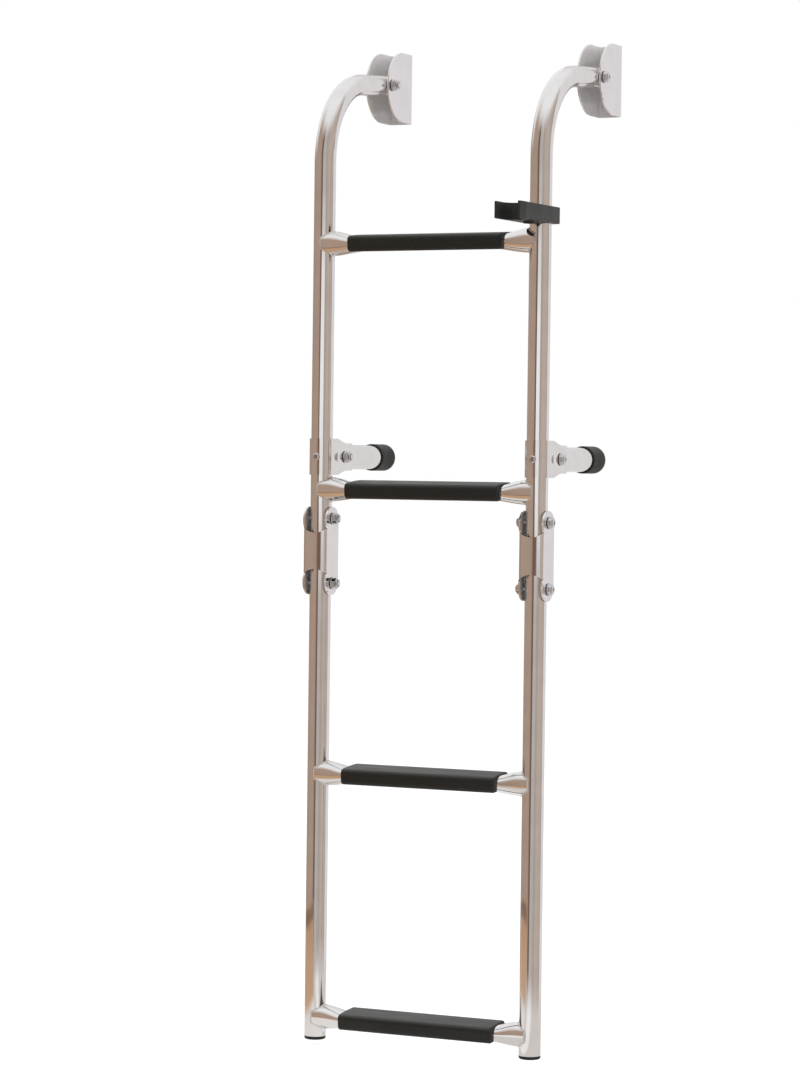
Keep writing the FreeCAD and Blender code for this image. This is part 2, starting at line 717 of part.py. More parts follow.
# Stow clip: a moulded block on the rail with an open mouth that takes the folded lower rail
def stow_clip(label, x):
    body = new_body(label, x, "-arm_reach", "clip_rise - arm_drop")
    outline = new_sketch(body, "XY_Plane")
    grip = "(tube_od / 2 + clip_gap)"
    wide = f"({grip} + clip_wall)"
    square = f"({wide} - clip_corner)"
    tip = "(pivot_spacing + clip_lip)"
    add_outline(outline, [
        (wide, f"clip_taper - {tip}"),
        (wide, square),
        (square, wide, square, square, "left"),
        (f"-{square}", wide),
        (f"-{wide}", square, f"-{square}", square, "left"),
        (f"-{wide}", f"clip_taper - {tip}"),
        (f"-{grip} - clip_tip", f"-{tip}"),
        (f"-{grip}", f"-{tip}"),
        (f"-{grip}", "-pivot_spacing"),
        (grip, "-pivot_spacing", "0", "-pivot_spacing", "right"),
        (grip, f"-{tip}"),
        (f"{grip} + clip_tip", f"-{tip}"),
    ])
    block = pad(body, outline, "clip_height")
    level = number("clip_height / 2")
    mouth = number(f"clip_taper - {tip}")
    round_edges(body, block, "clip_edge", lambda edge: near(edge.BoundBox.ZMin, edge.BoundBox.ZMax)
                and near(abs(edge.BoundBox.ZMin), level) and edge.BoundBox.YMax > mouth + 0.1
                and max(abs(edge.BoundBox.XMin), abs(edge.BoundBox.XMax)) > number(grip) + 0.1)
    boss = new_sketch(body, "XY_Plane", "-clip_height / 2")
    add_circle(boss, "0", "-clip_boss_y", "clip_boss_diameter / 2")
    lump = body.newObject("PartDesign::Pad", f"{label}_boss")
    lump.Profile = boss
    lump.Reversed = True
    bind(lump, "Length", "clip_boss_height")
    bore = new_sketch(body, "XY_Plane")
    add_circle(bore, "0", "0", "tube_od / 2 + weld_gap")
    cut_through(body, bore)
    return body


# Foot cap: a plastic plug with a lip that closes the end of a lower rail
def foot_cap(label, x):
    body = new_body(label, x, "-arm_reach", f"-{LOWER_PIVOT_DROP} - {FOOT_DROP}")
    half = new_sketch(body, "XZ_Plane")
    plug = "(tube_od / 2 - tube_wall - cap_gap)"
    add_outline(half, [
        ("0", "cap_plug"),
        (plug, "cap_plug"),
        (plug, "0"),
        ("tube_od / 2", "0"),
        ("tube_od / 2", "cap_round - cap_lip"),
        ("tube_od / 2 - cap_round", "-cap_lip", "tube_od / 2 - cap_round", "cap_round - cap_lip", "right"),
        ("0", "-cap_lip"),
    ])
    turn_round(body, half, "V_Axis")
    return body


pieces = []
for name, x, outward in (("left", "0", -1), ("right", "rail_spacing", 1)):
    pieces.append(mount_bracket(f"{name}_mount_bracket", x))
    pieces += bolt_set(f"{name}_mount_bolt", f"{name}_mount_nut", outward, x, "-mount_bolt_y", "0", BRACKET_WIDTH)
    pieces.append(upper_rail(f"{name}_upper_rail", x))
    pieces.append(standoff_clamp(f"{name}_standoff_clamp", x))
    pieces.append(standoff_tube(f"{name}_standoff_tube", x))
    pieces.append(standoff_pad(f"{name}_standoff_pad", x))
    pieces.append(strap_screw(f"{name}_strap_screw", x))
    pieces += bolt_set(f"{name}_standoff_bolt", f"{name}_standoff_nut", outward, x,
                       "standoff_bolt_y - arm_reach", f"-{STANDOFF_LEVEL}",
                       "(standoff_od + 2 * clamp_gap + 2 * clamp_sheet)")
    pieces.append(hinge_channel(f"{name}_hinge_channel", x))
    for level, drop in (("upper", UPPER_PIVOT_DROP), ("lower", LOWER_PIVOT_DROP)):
        pieces += bolt_set(f"{name}_{level}_pivot_bolt", f"{name}_{level}_pivot_nut", outward, x,
                           "-arm_reach", f"-{drop}", CHANNEL_WIDTH)
    pieces.append(lower_rail(f"{name}_lower_rail", x))
    pieces.append(foot_cap(f"{name}_foot_cap", x))
for step, drop in STEP_DROPS.items():
    pieces.append(step_tube(f"step_{step}_tube", drop))
    pieces.append(step_tread(f"step_{step}_tread", drop))
pieces.append(stow_clip("stow_clip", "rail_spacing"))

doc.recompute()

# Every object has to be sound before anything is written
for item in doc.Objects:
    if "Invalid" in item.State or "Error" in item.State:
        raise RuntimeError(f"{item.Name} failed: {item.State}")
for piece in pieces:
    if piece.Shape.isNull() or not piece.Shape.isValid() or len(piece.Shape.Solids) != 1:
        raise RuntimeError(f"{piece.Label} has no sound single solid")

os.makedirs("parts", exist_ok=True)
for piece in pieces:
    piece.Shape.exportStep(f"parts/{piece.Label}.step")
    box = piece.Shape.BoundBox
    print(f"{piece.Label}: {piece.Shape.Volume:.0f} mm3, "
          f"X {box.XMin:.1f}..{box.XMax:.1f}, Y {box.YMin:.1f}..{box.YMax:.1f}, Z {box.ZMin:.1f}..{box.ZMax:.1f}")
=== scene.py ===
import json
import math

import bmesh
import bpy
from mathutils import Matrix, Vector

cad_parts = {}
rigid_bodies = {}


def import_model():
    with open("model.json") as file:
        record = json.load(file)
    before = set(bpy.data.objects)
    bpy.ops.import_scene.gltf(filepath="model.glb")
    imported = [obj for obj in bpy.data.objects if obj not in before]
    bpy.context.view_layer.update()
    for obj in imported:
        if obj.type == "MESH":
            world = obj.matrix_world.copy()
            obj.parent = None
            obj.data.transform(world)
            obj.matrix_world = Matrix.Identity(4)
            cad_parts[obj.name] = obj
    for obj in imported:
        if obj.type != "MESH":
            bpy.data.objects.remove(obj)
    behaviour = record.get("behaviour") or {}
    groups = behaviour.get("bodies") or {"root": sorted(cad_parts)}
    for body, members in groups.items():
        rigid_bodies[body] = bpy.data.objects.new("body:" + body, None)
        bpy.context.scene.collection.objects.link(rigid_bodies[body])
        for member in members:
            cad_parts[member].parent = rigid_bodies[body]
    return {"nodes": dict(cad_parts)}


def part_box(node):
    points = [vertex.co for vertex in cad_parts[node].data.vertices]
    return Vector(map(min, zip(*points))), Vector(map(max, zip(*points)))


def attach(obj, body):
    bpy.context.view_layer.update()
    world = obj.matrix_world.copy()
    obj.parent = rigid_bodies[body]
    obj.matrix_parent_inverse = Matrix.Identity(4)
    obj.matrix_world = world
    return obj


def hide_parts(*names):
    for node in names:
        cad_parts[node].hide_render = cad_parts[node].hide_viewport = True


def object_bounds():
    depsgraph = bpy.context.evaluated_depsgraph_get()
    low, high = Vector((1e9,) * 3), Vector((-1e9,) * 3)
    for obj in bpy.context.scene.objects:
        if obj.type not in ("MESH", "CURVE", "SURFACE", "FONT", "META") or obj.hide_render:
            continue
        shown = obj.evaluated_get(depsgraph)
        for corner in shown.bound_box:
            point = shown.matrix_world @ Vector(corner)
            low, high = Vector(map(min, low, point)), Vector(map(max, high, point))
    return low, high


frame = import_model()
cad_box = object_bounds()

# Studio
# The ladder hangs by its brackets just above a white paper floor. The camera stands level with
# the ladder's middle, to its front right, at the photograph's angle and with a long lens.
CAMERA_PLACE = Vector((1.600, -3.308, -0.3955))
CAMERA_YAW = math.radians(25.75)
CAMERA_PITCH = math.radians(-1.34)
CAMERA_ROLL = math.radians(0.72)
FOCAL_PIXELS = 3440
PHOTO_HEIGHT = 1085
SENSOR_MM = 36.0
VIEW_DEPTH = 100


def placed(name, data, collection=None):
    """A new object in the scene, or in one collection of it."""
    item = bpy.data.objects.new(name, data)
    (collection or bpy.context.scene.collection).objects.link(item)
    return item


def camera_frame(yaw, pitch, roll):
    """The camera's right, up and backward directions as the columns of a matrix."""
    level_right = Vector((math.cos(yaw), math.sin(yaw), 0))
    level_ahead = Vector((-math.sin(yaw), math.cos(yaw), 0))
    top = Vector((0, 0, 1))
    ahead = level_ahead * math.cos(pitch) + top * math.sin(pitch)
    above = top * math.cos(pitch) - level_ahead * math.sin(pitch)
    right = level_right * math.cos(roll) + above * math.sin(roll)
    up = above * math.cos(roll) - level_right * math.sin(roll)
    return Matrix((right, up, -ahead)).transposed()


camera_data = bpy.data.cameras.new("camera")
camera_data.sensor_width = SENSOR_MM
camera_data.lens = FOCAL_PIXELS / PHOTO_HEIGHT * SENSOR_MM
camera_data.clip_end = VIEW_DEPTH
camera = placed("camera", camera_data)
camera.matrix_world = Matrix.Translation(CAMERA_PLACE) @ camera_frame(
    CAMERA_YAW, CAMERA_PITCH, CAMERA_ROLL).to_4x4()
bpy.context.scene.camera = camera
bpy.context.scene.view_settings.view_transform = "Standard"

# Each softbox by its place, size, watts and tint; all are turned to the ladder's middle
LIGHT_AIM = Vector((0.12, -0.12, -0.45))
SOFTBOXES = {
    "key_softbox": ((-1.2, -3.2, 1.6), 1.6, 60, (1, 0.99, 0.97)),
    "side_softbox": ((2.9, -0.6, 0.9), 1.8, 35, (0.97, 0.98, 1)),
    "back_softbox": ((-0.6, 2.4, 1.4), 1.6, 30, (1, 1, 1)),
}
for name, (place, size, watts, tint) in SOFTBOXES.items():
    data = bpy.data.lights.new(name, "AREA")
    data.size = size
    data.energy = watts
    data.color = tint
    lamp = placed(name, data)
    lamp.location = place
    lamp.rotation_euler = (LIGHT_AIM - Vector(place)).to_track_quat("-Z", "Y").to_euler()
    lamp.visible_glossy = False


def feed(tree, node, inputs):
    """Set a node's inputs, each to a plain value or to another node's output."""
    for name, value in inputs.items():
        if isinstance(value, bpy.types.NodeSocket):
            tree.links.new(value, node.inputs[name])
        else:
            node.inputs[name].default_value = value


def added(tree, kind, inputs=None, **settings):
    """A new node of a kind, with its settings made and its inputs fed."""
    node = tree.nodes.new(kind)
    for name, value in settings.items():
        setattr(node, name, value)
    feed(tree, node, inputs or {})
    return node


def combined(tree, operation, first, second):
    """Two numbers put together by a Math node."""
    return added(tree, "ShaderNodeMath", {0: first, 1: second}, operation=operation).outputs[0]


def ranged(tree, value, source, target=(0, 1), kind="SMOOTHSTEP"):
    """A value moved from one range to another, and kept inside it."""
    return added(tree, "ShaderNodeMapRange", {
        "Value": value, "From Min": source[0], "From Max": source[1],
        "To Min": target[0], "To Max": target[1]}, interpolation_type=kind).outputs["Result"]


def share_between(tree, value, rise, fall):
    """A factor that rises from 0 to 1 over one range of a value and falls back over another."""
    return combined(tree, "MULTIPLY", ranged(tree, value, rise), ranged(tree, value, fall, (1, 0)))


def blended(tree, factor, before, after):
    """A colour that goes to a plain one by a factor."""
    return added(tree, "ShaderNodeMix", {"Factor": factor, 6: before, 7: (*after, 1)},
                 data_type="RGBA").outputs[2]


def ramp(tree, value, stops):
    """A colour that follows a value through stops of (place, colour)."""
    node = added(tree, "ShaderNodeValToRGB", {"Fac": value})
    node.color_ramp.interpolation = "EASE"
    elements = node.color_ramp.elements
    while len(elements) < len(stops):
        elements.new(0.5)
    for element, (place, colour) in zip(elements, stops):
        element.position = place
        element.color = (*colour, 1)
    return node.outputs["Color"]


def shader_node(tree, kind, colour=(1, 1, 1), **strength):
    """A plain shader of a kind and colour, and of a strength where it glows."""
    return added(tree, kind, {"Color": (*colour, 1), **strength}).outputs[0]


def mixed(tree, factor, first, second):
    """One shader where a factor is 0 and another where it is 1."""
    return added(tree, "ShaderNodeMixShader", {0: factor, 1: first, 2: second}).outputs[0]


def by_ray(tree, camera_shader, glossy_shader, other_shader):
    """A shader for what the camera sees, one for what the polish shows, and one for the rest."""
    rays = added(tree, "ShaderNodeLightPath").outputs
    unseen = mixed(tree, rays["Is Glossy Ray"], other_shader, glossy_shader)
    return mixed(tree, rays["Is Camera Ray"], unseen, camera_shader)


# What the polish shows of the room: its walls by the angle in degrees from straight behind the
# camera, one bright window in them, and a pale back wall and ceiling from some heights up. A
# height is the sine of the elevation.
WALL_BANDS = (
    (-180, (0.44, 0.33, 0.26)),
    (-120, (0.43, 0.32, 0.25)),
    (-80, (0.46, 0.34, 0.27)),
    (-52, (0.45, 0.33, 0.26)),
    (-43, (0.40, 0.29, 0.23)),
    (-38, (0.20, 0.125, 0.09)),
    (-27, (0.19, 0.12, 0.085)),
    (-20, (0.55, 0.51, 0.50)),
    (8, (0.52, 0.48, 0.46)),
    (13, (0.46, 0.395, 0.355)),
    (45, (0.57, 0.475, 0.415)),
    (80, (0.54, 0.455, 0.40)),
    (93, (0.44, 0.37, 0.33)),
    (100, (0.84, 0.81, 0.82)),
    (178, (0.78, 0.76, 0.77)),
    (180, (0.44, 0.33, 0.26)),
)
WINDOW = (1.0, 0.99, 1.0)
WINDOW_SIDES = ((-24, -19), (7, 11))
WINDOW_HEIGHTS = ((-0.045, -0.005), (0.035, 0.09))
CEILING = (0.96, 0.96, 0.97)
CEILING_HEIGHTS = (0.48, 0.88)
BACK_WALL_SIDE = (-135, -95)
BACK_WALL_HEIGHTS = (0.08, 0.30)
EVEN_LIGHT = (0.95, 0.95, 0.95)
EVEN_STRENGTH = 0.55


def turn_share(angle):
    """Where an angle in degrees lies on the room's full turn, from 0 to 1."""
    return (angle + 180) / 360


def studio_world():
    """White for the camera, even pale light on the ladder, and a banded room for reflections."""
    world = bpy.data.worlds.new("studio")
    world.use_nodes = True
    bpy.context.scene.world = world
    tree = world.node_tree
    tree.nodes.clear()
    direction = added(tree, "ShaderNodeTexCoord").outputs["Generated"]
    turned = added(tree, "ShaderNodeMapping", {
        "Vector": direction, "Rotation": (0, 0, math.pi / 2 - CAMERA_YAW)}, vector_type="VECTOR")
    sweep = added(tree, "ShaderNodeTexGradient", {"Vector": turned.outputs["Vector"]},
                  gradient_type="RADIAL").outputs["Fac"]
    height = added(tree, "ShaderNodeSeparateXYZ", {"Vector": direction}).outputs["Z"]
    walls = ramp(tree, sweep, [(turn_share(angle), colour) for angle, colour in WALL_BANDS])
    across = share_between(tree, sweep, *[list(map(turn_share, side)) for side in WINDOW_SIDES])
    upward = share_between(tree, height, *WINDOW_HEIGHTS)
    shown = blended(tree, combined(tree, "MULTIPLY", across, upward), walls, WINDOW)
    shown = blended(tree, ranged(tree, height, CEILING_HEIGHTS), shown, CEILING)
    behind = ranged(tree, sweep, list(map(turn_share, BACK_WALL_SIDE)), (1, 0))
    behind = combined(tree, "MULTIPLY", behind, ranged(tree, height, BACK_WALL_HEIGHTS))
    shown = blended(tree, behind, shown, CEILING)
    room = added(tree, "ShaderNodeBackground", {"Color": shown}).outputs[0]
    even = shader_node(tree, "ShaderNodeBackground", EVEN_LIGHT, Strength=EVEN_STRENGTH)
    white = shader_node(tree, "ShaderNodeBackground")
    added(tree, "ShaderNodeOutputWorld", {"Surface": by_ray(tree, white, room, even)})


studio_world()

FLOOR_GAP = 0.006
FLOOR_LEVEL = cad_box[0][2] - FLOOR_GAP
FLOOR_HALF = 30.0
PAPER_WHITE = (0.30, 0.30, 0.30)
PAPER_GLOW = 0.88
PAPER_BOUNCE = (0.86, 0.855, 0.85)

# What the polish shows of the floor: paper by the feet, then wood up to a dark skirting, by the
# distance from the floor's centre. Behind the ladder and on the camera's left it is paler.
FLOOR_CENTRE = (0.12, -0.177, FLOOR_LEVEL)
FLOOR_SPAN = 2.0
FLOOR_RINGS = (
    (0.00, (0.90, 0.88, 0.86)),
    (0.27, (0.86, 0.82, 0.79)),
    (0.40, (0.62, 0.40, 0.25)),
    (1.00, (0.56, 0.35, 0.22)),
)
FLOOR_BEHIND = (0.75, 0.72, 0.70)
FLOOR_BEHIND_RANGE = (0.10, 0.60)
SKIRTING = (0.26, 0.165, 0.12)
SKIRTING_RANGE = ((0.96, 1.04), (1.16, 1.22))
WOOD_EDGE = (1.16, 1.26)
WOOD_SIDE = (-0.66, -0.52)
PAPER = (0.74, 0.70, 0.68)
PAPER_EDGE = (0.34, 0.70)
PAPER_STREAK = (0.98, 0.97, 0.97)
STREAK_SIDES = ((-0.30, -0.20), (0.30, 0.42))


def new_material(name):
    """A new material, its node tree and its shader."""
    material = bpy.data.materials.new(name)
    material.use_nodes = True
    return material, material.node_tree, material.node_tree.nodes["Principled BSDF"]


def paper_material():
    """White paper that keeps a soft shadow, with the warm wooden floor round it for the polish."""
    material, tree, _ = new_material("white_paper")
    tree.nodes.clear()
    place = added(tree, "ShaderNodeTexCoord").outputs["Object"]
    shift = added(tree, "ShaderNodeVectorMath", {0: place, 1: FLOOR_CENTRE},
                  operation="SUBTRACT").outputs["Vector"]
    reach = added(tree, "ShaderNodeVectorMath", {0: shift}, operation="LENGTH").outputs["Value"]
    rightward = (math.cos(CAMERA_YAW), math.sin(CAMERA_YAW), 0)
    sideways = added(tree, "ShaderNodeVectorMath", {0: shift, 1: rightward},
                     operation="DOT_PRODUCT").outputs["Value"]
    bearing = combined(tree, "DIVIDE", sideways, reach)
    backward = added(tree, "ShaderNodeSeparateXYZ", {"Vector": shift}).outputs["Y"]
    rings = ramp(tree, combined(tree, "DIVIDE", reach, FLOOR_SPAN),
                 [(distance / FLOOR_SPAN, colour) for distance, colour in FLOOR_RINGS])
    shown = blended(tree, ranged(tree, backward, FLOOR_BEHIND_RANGE), rings, FLOOR_BEHIND)
    shown = blended(tree, share_between(tree, reach, *SKIRTING_RANGE), shown, SKIRTING)
    aside = ranged(tree, bearing, WOOD_SIDE)
    shown = blended(tree, aside, shown, PAPER)
    shown = blended(tree, share_between(tree, bearing, *STREAK_SIDES), shown, PAPER_STREAK)
    clear = combined(tree, "MAXIMUM", ranged(tree, reach, WOOD_EDGE),
                     combined(tree, "MULTIPLY", aside, ranged(tree, reach, PAPER_EDGE)))
    room = mixed(tree, clear, added(tree, "ShaderNodeEmission", {"Color": shown}).outputs[0],
                 shader_node(tree, "ShaderNodeBsdfTransparent"))
    lit = added(tree, "ShaderNodeAddShader", {
        0: shader_node(tree, "ShaderNodeBsdfDiffuse", PAPER_WHITE),
        1: shader_node(tree, "ShaderNodeEmission", Strength=PAPER_GLOW)}).outputs[0]
    bounce = shader_node(tree, "ShaderNodeBsdfDiffuse", PAPER_BOUNCE)
    added(tree, "ShaderNodeOutputMaterial", {"Surface": by_ray(tree, lit, room, bounce)})
    return material


floor_mesh = bpy.data.meshes.new("floor")
floor_mesh.from_pydata([(x * FLOOR_HALF, y * FLOOR_HALF, FLOOR_LEVEL)
                        for x, y in ((-1, -1), (1, -1), (1, 1), (-1, 1))], [], [(0, 1, 2, 3)])
floor_mesh.materials.append(paper_material())
floor = placed("floor", floor_mesh)


# Rails
# Four lengths of thin stainless tube, drawn, bent and polished to a mirror. The finish keeps
# slow waves from the drawing, a faint haze from the wheel, and hair lines along the tube.
HAZE_SHADE = 0.94
HAZE_RANGE = (0.3, 0.7)
# Painted shade for the fasteners' recesses, the feet of their heads, nuts and collars, and their
# washers' faces, carried by a vertex attribute
CREVICE_PAINTED_SHADE = (0.05, 0.046, 0.044)
CREVICE_SHADE_RANGE = (0.15, 0.9)
WEAR_RANGE = (0.1, 0.45)
WEAR_SPREAD = (0.55, 1.6)
WAVE_DEPTH = 0.004


def noise(tree, vector, scale, detail, stretch=None):
    """Noise over a vector, which may first be stretched by three scales."""
    if stretch:
        mapping = added(tree, "ShaderNodeMapping", {"Vector": vector, "Scale": stretch})
        vector = mapping.outputs["Vector"]
    return added(tree, "ShaderNodeTexNoise", {
        "Vector": vector, "Scale": scale, "Detail": detail}).outputs["Fac"]


def bumped(tree, height, strength, distance, normal=None):
    """A surface normal tilted by a height, on top of another tilt if there is one."""
    inputs = {"Height": height, "Strength": strength, "Distance": distance}
    if normal is not None:
        inputs["Normal"] = normal
    return added(tree, "ShaderNodeBump", inputs).outputs["Normal"]


def steel_material(name, tint, grain, roughness, waviness, painted_crevice_shade=False):
    """Mirror-polished stainless, with the wheel's hair lines stretched by the grain scales."""
    material, tree, shader = new_material(name)
    place = added(tree, "ShaderNodeTexCoord").outputs["Object"]
    haze = noise(tree, place, scale=55, detail=5)
    dim_tint = [part * HAZE_SHADE for part in tint]
    colour = ramp(tree, haze, [*zip(HAZE_RANGE, (dim_tint, tint))])
    # Where a piece's vertices carry it, painted shade darkens the colour towards near black
    if painted_crevice_shade:
        painted_shade = added(tree, "ShaderNodeAttribute", attribute_name="painted_shade").outputs["Fac"]
        colour = blended(tree, ranged(tree, painted_shade, CREVICE_SHADE_RANGE), colour, CREVICE_PAINTED_SHADE)
    hairs = noise(tree, place, scale=1, detail=2, stretch=grain)
    worn = combined(tree, "MULTIPLY", haze, hairs)
    gloss = ranged(tree, worn, WEAR_RANGE, [roughness * part for part in WEAR_SPREAD], "LINEAR")
    waves = bumped(tree, noise(tree, place, scale=9, detail=1), waviness, WAVE_DEPTH)
    feed(tree, shader, {"Metallic": 1, "Base Color": colour, "Roughness": gloss, "Normal": waves})
    return material


def dress(nodes, material):
    """Give carried-over CAD nodes one material."""
    for node in nodes:
        item = frame["nodes"][node]
        item.data.materials.clear()
        item.data.materials.append(material)
        for face in item.data.polygons:
            face.material_index = 0


SIDES = ("left", "right")
UPRIGHT_GRAIN = (900, 900, 14)
CROSSWISE_GRAIN = (14, 900, 900)
STEEL_TINT = (0.82, 0.81, 0.80)
rail_steel = steel_material("rail_steel", STEEL_TINT, UPRIGHT_GRAIN, roughness=0.06, waviness=0.10)
dress([f"{side}_{rail}_rail" for side in SIDES for rail in ("upper", "lower")], rail_steel)


# Wall brackets
# Two U-shaped brackets folded from sheet with arched cheeks, screwed to the transom by their
# backs. The flat cheeks are polished less deeply than the tubes and show a soft, even sheen.
SHEET_TINT = (0.84, 0.83, 0.83)
SHEET_GRAIN = (500, 14, 500)
SIDE_SPACING = 0.24
INSIDE_HALF_WIDTH = 0.0122
INSIDE_ROUGHNESS = 0.38
NO_PLANE = -1  # in front of everything
BRACKET_SHINE = 0.5


def dull_inside(material, behind, shine):
    """
    Leave a folded sheet's faces between its cheeks unpolished, where they lie behind a plane.
    Returns the distance across from the middle of the sheet's own side of the ladder.
    """
    tree = material.node_tree
    shader = tree.nodes["Principled BSDF"]
    gloss = shader.inputs["Roughness"].links[0].from_socket
    vector = added(tree, "ShaderNodeTexCoord").outputs["Object"]
    place = added(tree, "ShaderNodeSeparateXYZ", {"Vector": vector}).outputs
    across = added(tree, "ShaderNodeMath", {0: place["X"], 1: SIDE_SPACING / 2,
                                            2: -SIDE_SPACING / 2}, operation="WRAP").outputs[0]
    aside = combined(tree, "ABSOLUTE", across, 0)
    inside = combined(tree, "MULTIPLY", combined(tree, "LESS_THAN", aside, INSIDE_HALF_WIDTH),
                      combined(tree, "GREATER_THAN", place["Y"], behind))
    dull = combined(tree, "MULTIPLY", inside, INSIDE_ROUGHNESS)
    lost = combined(tree, "MULTIPLY", inside, 1 - shine)
    feed(tree, shader, {"Roughness": combined(tree, "MAXIMUM", gloss, dull),
                        "Metallic": combined(tree, "SUBTRACT", 1, lost)})
    return across


sheet_steel = steel_material("sheet_steel", SHEET_TINT, SHEET_GRAIN, roughness=0.16, waviness=0.05)
dull_inside(sheet_steel, NO_PLANE, BRACKET_SHINE)
dress([f"{side}_mount_bracket" for side in SIDES], sheet_steel)


# Step tubes
# Each step is a tube welded between the rails. It is round and a little thicker than the rails at
# its welds, tapers in from them, and is pressed flat and wide under its tread.
RAIL_RADIUS = 0.011
ROUND_RADIUS = 0.0125
FLAT_HALF_WIDTH = 0.0145
FLAT_HALF_HEIGHT = 0.0060
TOP_TAPER = (0.012, 0.042)
BELLY_TAPER = (0.012, 0.062)
STEP_TILT = math.radians(5.5)
LIP = 0.0006  # least distance of a cope from the rail's axis
WELD_SINK = 0.0002  # of the cope into the rail
TUBE_POINTS = 72
TUBE_RINGS = 44
CREASE = math.radians(32)
STEPS_OF = {"upper_section": (1, 2), "lower_section": (3, 4)}


def tapered(from_rail, taper, flat_size):
    """Half the tube's size at a distance from the rail's axis, from round to flat over a taper."""
    share = min(max((from_rail - taper[0]) / (taper[1] - taper[0]), 0), 1)
    share = 0.5 * share + 0.5 * share * share * (3 - 2 * share)
    return ROUND_RADIUS + (flat_size - ROUND_RADIUS) * share


def tilted(y, z):
    """A point of a step's section, turned by the step's tilt."""
    return (y * math.cos(STEP_TILT) - z * math.sin(STEP_TILT),
            y * math.sin(STEP_TILT) + z * math.cos(STEP_TILT))


def step_section(angle, from_rail):
    """A point of the step tube's oval at an angle and a distance from the rail's axis."""
    upright_taper = TOP_TAPER if math.cos(angle) > 0 else BELLY_TAPER
    return tilted(math.sin(angle) * tapered(from_rail, BELLY_TAPER, FLAT_HALF_WIDTH),
                  math.cos(angle) * tapered(from_rail, upright_taper, FLAT_HALF_HEIGHT))


def cope_depth(angle):
    """How far from the rail's axis the tube's end stands off at an angle round it."""
    y, _ = step_section(angle, 0)
    return max(math.sqrt(max((RAIL_RADIUS - WELD_SINK) ** 2 - y ** 2, 0)), LIP)


def skinned(mesh, rings):
    """Join rings of vertices into a skin, where a ring may be a single point."""
    for under, over in zip(rings, rings[1:]):
        for index in range(max(len(under), len(over))):
            corners = (under[index % len(under)], under[(index + 1) % len(under)],
                       over[(index + 1) % len(over)], over[index % len(over)])
            mesh.faces.new(dict.fromkeys(corners))


def step_tube(mesh, middle, half_span):
    """One step tube from rail to rail, with its ends closed at half size inside the rails."""
    angles = [2 * math.pi * index / TUBE_POINTS for index in range(TUBE_POINTS)]
    ends = [[mesh.verts.new(middle + Vector((side * half_span, y / 2, z / 2)))
             for y, z in (step_section(angle, 0) for angle in angles)] for side in (-1, 1)]
    rings = []
    for ring in range(TUBE_RINGS + 1):
        share = -math.cos(math.pi * ring / TUBE_RINGS)
        corners = []
        for angle in angles:
            x = share * (half_span - cope_depth(angle))
            y, z = step_section(angle, half_span - abs(x))
            corners.append(mesh.verts.new(middle + Vector((x, y, z))))
        rings.append(corners)
    for end in ends:
        mesh.faces.new(end)
    skinned(mesh, [ends[0], *rings, ends[1]])


def finished(name, mesh):
    """A mesh made of a bmesh, with smooth faces and sharp edges where it turns a corner."""
    data = bpy.data.meshes.new(name)
    mesh.to_mesh(data)
    mesh.free()
    data.shade_smooth()
    data.set_sharp_from_angle(angle=CREASE)
    return data


def fitted(name, mesh, material, body, nodes):
    """Finish a piece of several closed shells that rides on a body in place of some CAD nodes."""
    bmesh.ops.recalc_face_normals(mesh, faces=mesh.faces)
    piece = placed(name, finished(name, mesh))
    piece.data.materials.append(material)
    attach(piece, body)
    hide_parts(*nodes)


step_steel = steel_material(
    "step_steel", STEEL_TINT, CROSSWISE_GRAIN, roughness=0.07, waviness=0.08)
for body, steps in STEPS_OF.items():
    tubes = bmesh.new()
    for step in steps:
        low, high = (Vector(corner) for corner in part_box(f"step_{step}_tube"))
        step_tube(tubes, (low + high) / 2, (high.x - low.x) / 2)
    fitted(f"{body}_step_tubes", tubes, step_steel, body,
           [f"step_{step}_tube" for step in steps])


# Welds
# A neat bead runs round each end of every step tube where its cope meets the rail: a chain of
# overlapping puddles, polished over with the tubes.
WELD_TINT = (0.76, 0.75, 0.74)
WELD_GRAIN = (300, 300, 300)
BEAD_RADIUS = 0.0010
BEAD_PITCH = 0.0009
BEAD_SMALLEST = (0.92, 0.92, 0.75)
BEAD_LARGEST = (1.10, 1.10, 0.85)
BEAD_SEED = 7
BEAD_LINE = 0.97  # share of the tube's round that the bead follows
PATH_POINTS = 120


def node_tree(name, inputs):
    """An empty Geometry Nodes tree with named inputs of some socket types, and its inputs."""
    tree = bpy.data.node_groups.new(name, "GeometryNodeTree")
    for label, kind in {"Geometry": "Geometry", **inputs}.items():
        tree.interface.new_socket(label, in_out="INPUT", socket_type=f"NodeSocket{kind}")
    tree.interface.new_socket("Geometry", in_out="OUTPUT", socket_type="NodeSocketGeometry")
    return tree, added(tree, "NodeGroupInput").outputs


def turned_to(tree, direction):
    """A rotation that turns a thing's Z to a direction."""
    return added(tree, "FunctionNodeAlignRotationToVector", {"Vector": direction},
                 axis="Z").outputs["Rotation"]


def result_of(tree, instances, material):
    """End a tree with its instances made real and given a material."""
    solid = added(tree, "GeometryNodeRealizeInstances", {"Geometry": instances}).outputs[0]
    paint = added(tree, "GeometryNodeSetMaterial", {"Geometry": solid, "Material": material})
    added(tree, "NodeGroupOutput", {"Geometry": paint.outputs["Geometry"]})


